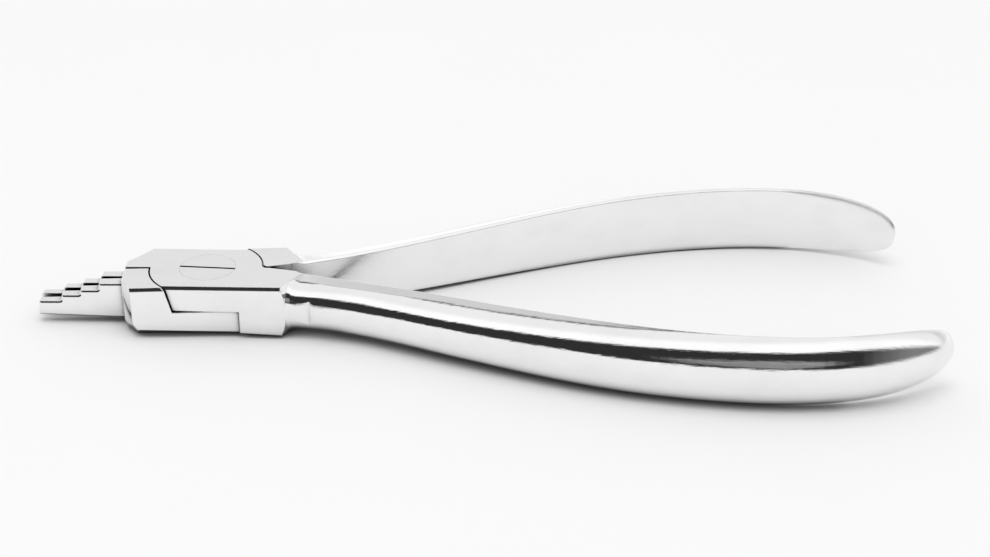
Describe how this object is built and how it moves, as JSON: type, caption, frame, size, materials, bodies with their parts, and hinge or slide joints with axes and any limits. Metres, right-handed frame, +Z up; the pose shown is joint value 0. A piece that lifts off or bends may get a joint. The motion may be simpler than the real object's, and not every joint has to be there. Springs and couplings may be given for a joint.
{
  "type": "orthodontic pliers",
  "caption": "Lap-jointed hand pliers with stepped rectangular beaks for forming wire loops and smooth D-section handles on a slotted pivot screw.",
  "frame": {"origin": "on the pivot axis, at the flat underside of the joint", "axes": "+X along the tool from the beaks to the handles, +Z up along the pivot axis, +Y towards the lower half's handle"},
  "size_m": [0.1352, 0.0566, 0.0109],
  "materials": {
    "polished_steel": "mirror-polished stainless steel",
    "screw_steel": "polished stainless steel, ground flush with the plate"
  },
  "bodies": {
    "lower_body": {"lower_half": "polished_steel", "pivot_screw": "screw_steel"},
    "upper_body": {"upper_half": "polished_steel"}
  },
  "joints": [
    {"name": "pivot", "type": "hinge", "parent": "lower_body", "child": "upper_body", "pos_m": [0, 0, 0], "axis": [0, 0, -1], "range_deg": [-2.7, 35]}
  ]
}
